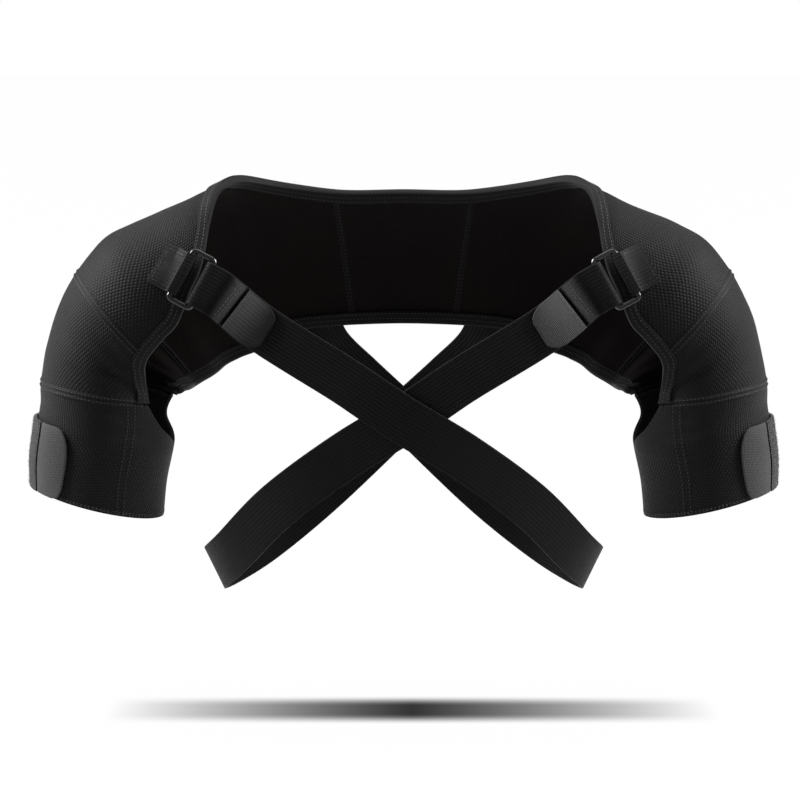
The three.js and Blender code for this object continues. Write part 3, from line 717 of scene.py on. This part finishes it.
closure_low = CLOTH / 2 + CLOSURE_GAP
for word, side in SIDES:
    flap = closure_layer(
        f"cuff_flap_pile_{word}", f"cuff_flap_{word}",
        side, lambda share: FLAP_START, FLAP_END, 90, closure_low, FLAP,
    )
    wear(flap, pile_cloth)
    tab = closure_layer(
        f"cuff_tab_hooks_{word}", f"cuff_tab_{word}", side, tab_outline, TAB_START, 24, closure_low, TAB
    )
    wear(tab, hook_cloth)

# The rings: rectangular slides moulded in glossy black plastic, one on the front edge of each shoulder,
# with all their edges rounded by the mould.
def grained(name, scale, dark, light):
    """A material whose colour runs between two shades by a fine noise, with its shader and that noise."""
    material = bpy.data.materials.new(name)
    material.use_nodes = True
    tree = material.node_tree
    shader = tree.nodes["Principled BSDF"]
    place = node_of(tree, "ShaderNodeTexCoord")
    noise = node_of(tree, "ShaderNodeTexNoise", {"Vector": place.outputs["Object"], "Scale": scale})
    shade = node_of(tree, "ShaderNodeValToRGB", {"Fac": noise.outputs[0]})
    shade.color_ramp.elements[0].color = (*dark, 1)
    shade.color_ramp.elements[1].color = (*light, 1)
    tree.links.new(shade.outputs["Color"], shader.inputs["Base Color"])
    return material, shader, noise.outputs[0]


ring_plastic, ring_shader, ring_grain = grained(
    "ring plastic", 700.0, (0.008, 0.008, 0.009), (0.018, 0.018, 0.020)
)
ring_tree = ring_plastic.node_tree
ring_rough = node_of(ring_tree, "ShaderNodeMapRange", {"Value": ring_grain, "To Min": 0.16, "To Max": 0.30})
ring_bump = node_of(
    ring_tree, "ShaderNodeBump", {"Height": ring_grain, "Strength": 0.15, "Distance": 0.0002}
)
ring_tree.links.new(ring_rough.outputs["Result"], ring_shader.inputs["Roughness"])
ring_tree.links.new(ring_bump.outputs["Normal"], ring_shader.inputs["Normal"])


def merged_copy(name, node, bevel):
    """A copy of a solid with its corners joined and its sharp edges rounded."""
    bpy.ops.object.select_all(action="DESELECT")
    piece = bpy.data.objects.new(name, cad[node].data.copy())
    piece.data.name = name
    bpy.context.scene.collection.objects.link(piece)
    piece.select_set(True)
    bpy.context.view_layer.objects.active = piece
    bpy.ops.object.mode_set(mode="EDIT")
    bpy.ops.mesh.select_all(action="SELECT")
    bpy.ops.mesh.remove_doubles(threshold=0.00001)
    bpy.ops.mesh.dissolve_limited(angle_limit=math.radians(1))
    bpy.ops.object.mode_set(mode="OBJECT")
    round_edges = piece.modifiers.new("round_edges", "BEVEL")
    round_edges.width = bevel
    round_edges.segments = 3
    round_edges.angle_limit = math.radians(25)
    apply_all(piece)
    bpy.ops.object.shade_smooth_by_angle(angle=math.radians(50))
    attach(piece, "root")
    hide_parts(node)
    return piece


for word, side in SIDES:
    ring = merged_copy(f"slide_ring_{word}", f"ring_{word}", 0.0006)
    wear(ring, ring_plastic)

# The anchors: a band of black webbing sewn flat on the front of each shoulder in a stitched box. It wraps
# the ring's outer bar and comes back on itself, and the ring turns in its eye.
GAP = 0.0003
WEBBING = 0.0013
RING_SECTION = 6.6
RING_FALL = math.radians(29)
RING_BAR = 0.004
RING_THICKNESS = 0.004
RING_SLOT = 0.014
RING_CLEARANCE = 0.0005
RING_HEIGHT = CLOTH / 2 + TAPE_GAP + TAPE + GAP + WEBBING + RING_CLEARANCE + RING_THICKNESS / 2
BAR_OFFSET = (RING_SLOT + RING_BAR) / 2
webbing_ribs = cloth_finish(
    "strap webbing", (0.0035, 0.003, 0.003), (0.010, 0.0085, 0.0083),
    (YARNS, {"Across": 0.0028, "Along": 0.0011, "Along Share": 0.45}), 0.55, 0.0006, 0.55, 0.03,
)


def ring_frame(side):
    """Where a ring lies on the front edge: its origin and its directions: along the anchor, across, out."""
    place = side * RING_SECTION
    angle = float(measure("edge_front", place))
    normal = cloth_normal(place, angle)
    if normal[1] > 0:
        normal = -normal
    reach = np.array([side * math.cos(RING_FALL), 0, math.sin(RING_FALL)])
    reach = unit(reach - normal * reach.dot(normal))
    return on_cloth(place, angle), reach, np.cross(normal, reach), normal


for word, side in SIDES:
    anchor = merged_copy(f"anchor_webbing_{word}", f"anchor_{word}", 0.0003)
    origin, reach, across, _ = ring_frame(side)
    points = read_vectors(anchor.data.vertices, "co") - origin
    lay_uv(anchor.data, np.stack([points @ across, points @ reach], 1))
    wear(anchor, webbing_ribs)

# The chest straps: 36 mm elastic webbing with lengthwise ribs. Each turns round its ring's inner bar,
# crosses the chest, loops round the side and is sewn on the outside of the back, over its lower edge. The
# left one lies on top where they cross.
CHEST_HALF_WIDTH = 0.148
CHEST_DEPTH = 0.101
STRAP_DROP = 0.300
STRAP_WIDTH = 0.036
STRAP = 0.002
STRAP_CROSSING = 0.0044
FOLD_BACK = 0.032
HOOK_TAB = 0.036
TAB_MARGIN = 0.0024
STRAP_ROUTE = [  # across, depth, drop, tuck, tilt
    (-0.722, -0.87, -0.325, 0, 0),
    (-0.286, -0.98, -0.457, 0.8, 0),
    (-0.02, -1.02, -0.544, 1, 0),
    (0.303, -0.97, -0.644, 0.8, -0.1),
    (0.643, -0.8, -0.776, 0, -0.2),
    (0.9, -0.46, -0.921, 0, -0.3),
    (1.0, 0.0, -0.99, 0, -0.35),
    (0.93, 0.42, -1.0, 0, -0.3),
    (0.764, 0.72, -0.965, 0, -0.2),
    (0.46, 0.93, -0.855, 0.8, -0.1),
    (-0.02, 1.03, -0.63, 1, 0),
    (-0.235, 1.02, -0.53, 0.8, 0),
    (-0.4, 0.99, -0.448, 0.2, 0),
]
SEWN = [(1.85, 90), (2.35, 80)]
SEWN_CLEARANCE = 0.0008
STRAP_STEP = 0.005
FOLD_STEP = 0.0015
FOLD_START = 0.0005
TAB_TIP = 0.45
TAB_ROUNDED = 0.45
STRAP_COLUMNS = 13


def strap_line(side, under, step):
    """Even samples of a strap from its ring to its sewn end: points, directions and outward normals."""
    origin, reach, _, out = ring_frame(side)
    first = -BAR_OFFSET - 0.4 * RING_BAR
    low = RING_HEIGHT - RING_THICKNESS / 2 - RING_CLEARANCE - STRAP / 2
    knots = [origin + reach * first + out * low, origin + reach * (first - STRAP_WIDTH / 3) + out * low]
    normals = [out, out]
    for index, (across, depth, drop, tuck, tilt) in enumerate(STRAP_ROUTE):
        point = np.array([-side * across * CHEST_HALF_WIDTH, depth * CHEST_DEPTH, drop * STRAP_DROP])
        normal = unit(np.array([
            point[0] / CHEST_HALF_WIDTH**2, point[1] / CHEST_DEPTH**2, tilt / CHEST_DEPTH
        ]))
        if index == 0:
            normal = unit(normal + out)
        if under:
            point = point - normal * tuck * STRAP_CROSSING * (np.sign(-point[1]) or 1)
        knots.append(point)
        normals.append(normal)
    height = CLOTH / 2 + TAPE_GAP + TAPE + GAP + STRAP / 2 + SEWN_CLEARANCE
    for section, angle in SEWN:
        knots.append(off_cloth(side * section, angle, height))
        normals.append(cloth_normal(side * section, angle))
    knots = np.array(knots)
    normals = np.array(normals)
    ends = np.concatenate([[2 * knots[0] - knots[1]], knots, [2 * knots[-1] - knots[-2]]])
    chords = np.sqrt(np.linalg.norm(np.diff(ends, axis=0), axis=1))
    points = []
    places = []
    for i in range(len(knots) - 1):
        a, b, c, d = ends[i:i + 4]
        da, db, dc = chords[i:i + 3]
        leave = ((b - a) / da - (c - a) / (da + db) + (c - b) / db) * db
        arrive = ((c - b) / db - (d - b) / (db + dc) + (d - c) / dc) * db
        t = np.linspace(0, 1, 60, endpoint=i == len(knots) - 2)[:, None]
        square = 3 * (c - b) - 2 * leave - arrive
        cube = 2 * (b - c) + leave + arrive
        points.append(b + leave * t + square * t**2 + cube * t**3)
        places.append(i + t[:, 0])
    points = np.concatenate(points)
    places = np.concatenate(places)
    lengths = lengths_along(points)
    at = np.linspace(0, lengths[-1], int(round(lengths[-1] / step)) + 1)
    points = sampled(at, lengths, points)
    places = np.interp(at, lengths, places)
    outward = sampled(places, np.arange(len(knots)), normals)
    tangents = unit(np.gradient(points, axis=0))
    outward = unit(outward - tangents * (outward * tangents).sum(1, keepdims=True))
    return at, points, tangents, outward


def strap_ribbon(name, points, tangents, normals, widths, thickness):
    """A flat band through samples, with the width given at each of them."""
    shares = np.linspace(-0.5, 0.5, STRAP_COLUMNS)
    across = unit(np.cross(tangents, normals))
    grid = points[:, None] + across[:, None] * (shares[None, :, None] * widths[:, None, None])
    along = np.repeat(lengths_along(points)[:, None], STRAP_COLUMNS, 1)
    piece = grid_piece(name, grid, np.repeat((shares * STRAP_WIDTH)[None], len(points), 0), along)
    thicken(piece, thickness, 0, 0.0004)
    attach(piece, "root")
    return piece


ROW_REACH = 0.42
SEWN_NEAR = 0.003
SEWN_FAR = 0.026
STITCH_LIFT = 0.0001
TAB_ROWS = [(-0.0075, STRAP), (-0.0045, STRAP), (0.0055, TAB)]  # distance past the fold's end, thickness


def row_across(points, tangents, normals, lengths, distance, thickness):
    """A row of points across a strap's face at a distance along it, with the normals there."""
    i = int(np.argmin(np.abs(lengths - distance)))
    sideways = unit(np.cross(tangents[i], normals[i])) * STRAP_WIDTH
    shares = np.linspace(-ROW_REACH, ROW_REACH, 20)[:, None]
    line = points[i] + normals[i] * (thickness / 2 + STITCH_LIFT) + sideways * shares
    return line, np.repeat(normals[i][None], len(shares), 0)


strap_rows = {}
for word, side in SIDES:
    under = side > 0
    _, points, tangents, outward = strap_line(side, under, STRAP_STEP)
    fine_at, *fine = strap_line(side, under, FOLD_STEP)
    fine_points, fine_tangents, fine_outward = fine
    origin, reach, _, out = ring_frame(side)
    turn_height = RING_THICKNESS / 2 + RING_CLEARANCE + STRAP / 2
    turn_reach = RING_BAR / 2 + 2 * RING_CLEARANCE + STRAP / 2
    resting = STRAP + 3 * GAP
    share = np.clip(fine_at / (STRAP_WIDTH / 2), 0, 1)
    lift = resting + (2 * turn_height - resting) * (1 - share * share * (3 - 2 * share))
    above = fine_points + fine_outward * lift[:, None]
    fold = np.nonzero((fine_at > FOLD_START) & (fine_at <= FOLD_BACK))[0][::-2]
    turns = np.radians(np.linspace(82, -82, 13))[:, None]
    turn_points = (
        origin + reach * (-BAR_OFFSET + turn_reach * np.cos(turns))
        + out * (RING_HEIGHT + turn_height * np.sin(turns))
    )
    strap = strap_ribbon(
        f"chest_strap_{word}",
        np.concatenate([above[fold], turn_points, points]),
        np.concatenate([-fine_tangents[fold], reach * np.sin(turns) - out * np.cos(turns), tangents]),
        np.concatenate([fine_outward[fold], reach * np.cos(turns) + out * np.sin(turns), -outward]),
        np.full(len(fold) + len(turns) + len(points), STRAP_WIDTH),
        STRAP,
    )
    wear(strap, webbing_ribs)
    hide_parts(f"strap_{word}")
    tab_at = np.nonzero((fine_at >= FOLD_BACK + TAB_MARGIN) & (fine_at <= FOLD_BACK + HOOK_TAB))[0]
    rounding = np.clip((np.linspace(0, 1, len(tab_at)) - (1 - TAB_ROUNDED)) / TAB_ROUNDED, 0, 1)
    tab_widths = STRAP_WIDTH * (TAB_TIP + (1 - TAB_TIP) * np.sqrt(1 - 0.98 * rounding**2))
    hook_end = strap_ribbon(
        f"strap_hooks_{word}", above[tab_at], -fine_tangents[tab_at], fine_outward[tab_at], tab_widths, TAB
    )
    wear(hook_end, hook_cloth if side > 0 else webbing_ribs)
    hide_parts(f"strap_tab_{word}")
    rows = [
        row_across(above, fine_tangents, fine_outward, fine_at, FOLD_BACK + past, thickness)
        for past, thickness in TAB_ROWS
    ]
    for distance in (SEWN_NEAR, SEWN_FAR):
        rows.append(row_across(*fine, fine_at, fine_at[-1] - distance, STRAP))
    sewn = (fine_at >= fine_at[-1] - SEWN_FAR) & (fine_at <= fine_at[-1] - SEWN_NEAR)
    sewn_across = unit(np.cross(fine_tangents[sewn], fine_outward[sewn])) * STRAP_WIDTH
    for share in (-ROW_REACH, ROW_REACH):
        line = fine_points[sewn] + fine_outward[sewn] * (STRAP / 2 + STITCH_LIFT) + sewn_across * share
        rows.append((line, fine_outward[sewn]))
    strap_rows[word] = rows

# The seams: the panels butt together, and a narrow knit tape covers each joint on both faces. It is sewn
# down along both its sides, which leaves the double ridge that shows on the shoulder and down the back.
SEAM_TAPE = 0.007
SEAM_TAPE_WALL = 0.0005
RIDGE_LOW = 0.00012
RIDGE_HIGH = 0.00042
UNDER_EDGE_TAPE = 0.4
SEAM_STITCH_LIFT = 0.0006


def seam_tape(name, place, face):
    """A strip over a seam, on the outside (face 1) or the inside (face -1) of the shell."""
    front = tape_reach(place, "edge_front") * UNDER_EDGE_TAPE
    back = tape_reach(place, "edge_back") * UNDER_EDGE_TAPE
    _, total = angles_at(place, [0.5])
    angles, _ = angles_at(place, lengths=np.linspace(front, total - back, 110))
    speed = np.linalg.norm(on_cloth(place + 0.05, angles) - on_cloth(place - 0.05, angles), axis=1) / 0.1
    shares = np.linspace(-1, 1, 13)
    places = place + shares[None] * (SEAM_TAPE / 2) / speed[:, None]
    ridge = RIDGE_LOW + RIDGE_HIGH * (0.5 - 0.5 * np.cos(2 * math.pi * shares)) * np.ones_like(places)
    grid = np.repeat(angles[:, None], len(shares), 1)
    points = off_cloth(places, grid, face * (CLOTH / 2 + ridge))
    across = np.repeat(shares[None] * SEAM_TAPE / 2, len(angles), 0)
    along = np.repeat(np.linspace(0, total, len(angles))[:, None], len(shares), 1)
    piece = grid_piece(name, points, across, along)
    row, column = len(angles) // 2, len(shares) // 2
    face_outward(piece, face * cloth_normal(places[row, column], grid[row, column]))
    thicken(piece, SEAM_TAPE_WALL, -1, 0.0001)
    wear(piece, tape_cloth)
    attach(piece, "root")
    return angles, speed


thread, thread_shader, _ = grained("thread", 2500.0, (0.012, 0.012, 0.013), (0.045, 0.045, 0.048))
thread_shader.inputs["Roughness"].default_value = 0.5
THREAD = 0.0005
STITCH_LENGTH = 0.0021
STITCH_PITCH = 0.0030
NEARBY = 0.0005
bpy.ops.object.select_all(action="DESELECT")
bpy.ops.mesh.primitive_uv_sphere_add(segments=6, ring_count=4, radius=0.5)
stitch_model = bpy.context.active_object
stitch_co = np.array([v.co for v in stitch_model.data.vertices]) * (THREAD, STITCH_LENGTH, THREAD)
stitch_faces = sorted(tuple(p.vertices) for p in stitch_model.data.polygons)  # their order varies by run
bpy.data.objects.remove(stitch_model)


def stitch_rows(name, rows):
    """Lockstitches in one piece, along rows of points given with the outward normals there."""
    places = []
    frames = []
    for points, normals in rows:
        lengths = lengths_along(points)
        at = np.arange(STITCH_PITCH / 2, lengths[-1], STITCH_PITCH)
        up = unit(sampled(at, lengths, normals))
        forward = unit(sampled(at + NEARBY, lengths, points) - sampled(at - NEARBY, lengths, points))
        across = unit(np.cross(forward, up))
        places.append(sampled(at, lengths, points))
        frames.append(np.stack([across, forward, np.cross(across, forward)], 1))
    places = np.concatenate(places)
    frames = np.concatenate(frames)
    co = np.einsum("vk,nkj->nvj", stitch_co, frames) + places[:, None]
    count = len(stitch_co)
    faces = [tuple(i * count + v for v in face) for i in range(len(places)) for face in stitch_faces]
    piece = mesh_piece(name, co, faces)
    wear(piece, thread)
    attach(piece, "root")


SEAMS = [("back_seam", BACK_SEAM), ("slanting_seam", SLANTING_SEAM), ("cuff_seam", CUFF_SEAM)]
for word, side in SIDES:
    rows = []
    for seam_name, place in SEAMS:
        for face_name, face in (("outer", 1), ("inner", -1)):
            angles, speed = seam_tape(f"{seam_name}_{face_name}_{word}", side * place, face)
            for share in (-0.5, 0.5):
                line = side * place + share * (SEAM_TAPE / 2) / speed
                rows.append((
                    off_cloth(line, angles, face * (CLOTH / 2 + SEAM_STITCH_LIFT)),
                    face * cloth_normal(line, angles),
                ))
    stitch_rows(f"seam_stitches_{word}", rows)

# The box stitching: each anchor is sewn down along the four sides of a box, and so is each strap's end on
# the back. Rows cross each strap where its hook end is sewn to it.
BOX_MARGIN = 0.0035
ABOVE_ANCHOR = 0.03
for word, side in SIDES:
    mesh = bpy.data.objects[f"anchor_webbing_{word}"].data
    surface = BVHTree.FromPolygons([v.co for v in mesh.vertices], [tuple(p.vertices) for p in mesh.polygons])
    origin, reach, across, normal = ring_frame(side)
    co = read_vectors(mesh.vertices, "co") - origin
    near = BAR_OFFSET + RING_BAR / 2 + BOX_MARGIN
    far = (co @ reach).max() - BOX_MARGIN
    wide = (co @ across).max() - BOX_MARGIN
    corners = [(near, -wide), (far, -wide), (far, wide), (near, wide), (near, -wide)]
    rows = []
    for (start_reach, start_across), (end_reach, end_across) in zip(corners, corners[1:]):
        line = []
        normals = []
        for share in np.linspace(0, 1, 30):
            above_it = (
                origin
                + reach * (start_reach + share * (end_reach - start_reach))
                + across * (start_across + share * (end_across - start_across))
                + normal * ABOVE_ANCHOR
            )
            spot, facing, _, _ = surface.ray_cast(Vector(above_it), Vector(-normal))
            if spot is not None:
                line.append(spot)
                normals.append(facing)
        rows.append((np.array(line), np.array(normals)))
    stitch_rows(f"anchor_stitches_{word}", rows)
    stitch_rows(f"strap_stitches_{word}", strap_rows[word])

# The stitching of the edge tapes and of the cuffs' hems: two rows along each tape, on both faces, two round
# each hem, and two down the cuff's closing seam.
TAPE_ROWS = (0.3, 0.78)
HEM_ROWS = (0.13, 0.19)
CLOSING_ROWS = (-112, -118)
CLOSING_START = 13.15
for tape_name, edge in (("neck", "edge_front"), ("lower", "edge_back")):
    rows = []
    for face in (1, -1):
        for share in TAPE_ROWS:
            line = []
            normals = []
            for place in tape_places():
                angle, _ = angles_at(place, lengths=[INWARD[edge] * tape_reach(place, edge) * share])
                line.append(off_cloth(place, angle, face * (CLOTH / 2 + TAPE_GAP + TAPE))[0])
                normals.append(face * cloth_normal(place, angle)[0])
            rows.append((np.array(line), np.array(normals)))
    stitch_rows(f"{tape_name}_tape_stitches", rows)

for word, side in SIDES:
    rows = []
    for up in HEM_ROWS:
        place = side * (HEM - up)
        angles = np.linspace(-180, 180, 200)
        rows.append((off_cloth(place, angles, CLOTH / 2), cloth_normal(place, angles)))
    for angle in CLOSING_ROWS:
        places = np.linspace(CLOSING_START, HEM - 0.02, 120) * side
        rows.append((off_cloth(places, angle, CLOTH / 2), cloth_normal(places, angle)))
    stitch_rows(f"cuff_stitches_{word}", rows)

# The pile's loose fibres: short hairs that stand out of the cuff's loop band and fuzz its outline.
HAIRS = 4200
HAIR_SUNK = 0.0003
HAIR_SPREAD = 0.55
HAIR_LENGTHS = (0.0008, 0.0022)
HAIR_RADIUS = 0.00009
HAIR_CORNERS = (0, 2.094, 4.189)
HAIR_FACES = ((0, 2, 1), (0, 1, 3), (1, 2, 3), (2, 0, 3))
for word, side in SIDES:
    random = np.random.default_rng(7 + side)
    places = random.uniform(CLOSURE_TOP + 0.01, CLOSURE_BOTTOM - 0.01, HAIRS) * side
    angles = random.uniform(FLAP_START + 1, FLAP_END - 1, HAIRS)
    roots = off_cloth(places, angles, closure_low + FLAP - HAIR_SUNK)
    lean = unit(cloth_normal(places, angles) + random.normal(0, HAIR_SPREAD, (HAIRS, 3)))
    tips = roots + lean * random.uniform(*HAIR_LENGTHS, (HAIRS, 1))
    first = unit(np.cross(lean, random.normal(0, 1, (HAIRS, 3))))
    second = np.cross(lean, first)
    base = [roots + (first * math.cos(a) + second * math.sin(a)) * HAIR_RADIUS for a in HAIR_CORNERS]
    faces = [tuple(4 * i + k for k in face) for i in range(HAIRS) for face in HAIR_FACES]
    hairs = mesh_piece(f"pile_hairs_{word}", np.stack([*base, tips], 1), faces)
    wear(hairs, thread)
    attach(hairs, "root")

# The shadow: the photograph's is a thin soft ellipse, narrower than the brace, so it is painted on the floor.
SHADOW_CENTRE = (0.0065, -0.0073)
SHADOW_REACH = (0.240, 0.046)
SHADOW_CORE = 0.012
SHADOW_DARKNESS = 0.80
SHADOW_FADE = 2.2
floor_tree = floor_paint.node_tree
floor_place = node_of(floor_tree, "ShaderNodeTexCoord")
floor_axes = node_of(floor_tree, "ShaderNodeSeparateXYZ", {"Vector": floor_place.outputs["Object"]})
aside = [
    math_of(floor_tree, "ABSOLUTE", math_of(floor_tree, "SUBTRACT", floor_axes.outputs[i], SHADOW_CENTRE[i]))
    for i in (0, 1)
]
thin = node_of(
    floor_tree,
    "ShaderNodeMapRange",
    {"Value": aside[1], "From Min": SHADOW_REACH[1], "From Max": SHADOW_CORE},
    interpolation_type="SMOOTHSTEP",
)
wide = node_of(
    floor_tree, "ShaderNodeMapRange", {"Value": aside[0], "From Min": SHADOW_REACH[0], "From Max": 0.0}
)
spot = math_of(floor_tree, "MULTIPLY", thin.outputs[0], wide.outputs[0])
shadow = math_of(floor_tree, "MULTIPLY", spot, SHADOW_DARKNESS)
left_over = math_of(floor_tree, "POWER", math_of(floor_tree, "SUBTRACT", 1.0, shadow), SHADOW_FADE)
floor_grey = math_of(floor_tree, "MULTIPLY", left_over, FLOOR_GREY)
floor_colour = node_of(floor_tree, "ShaderNodeCombineColor", {0: floor_grey, 1: floor_grey, 2: floor_grey})
floor_tree.links.new(floor_colour.outputs[0], floor_shader.inputs["Base Color"])

bpy.context.view_layer.update()
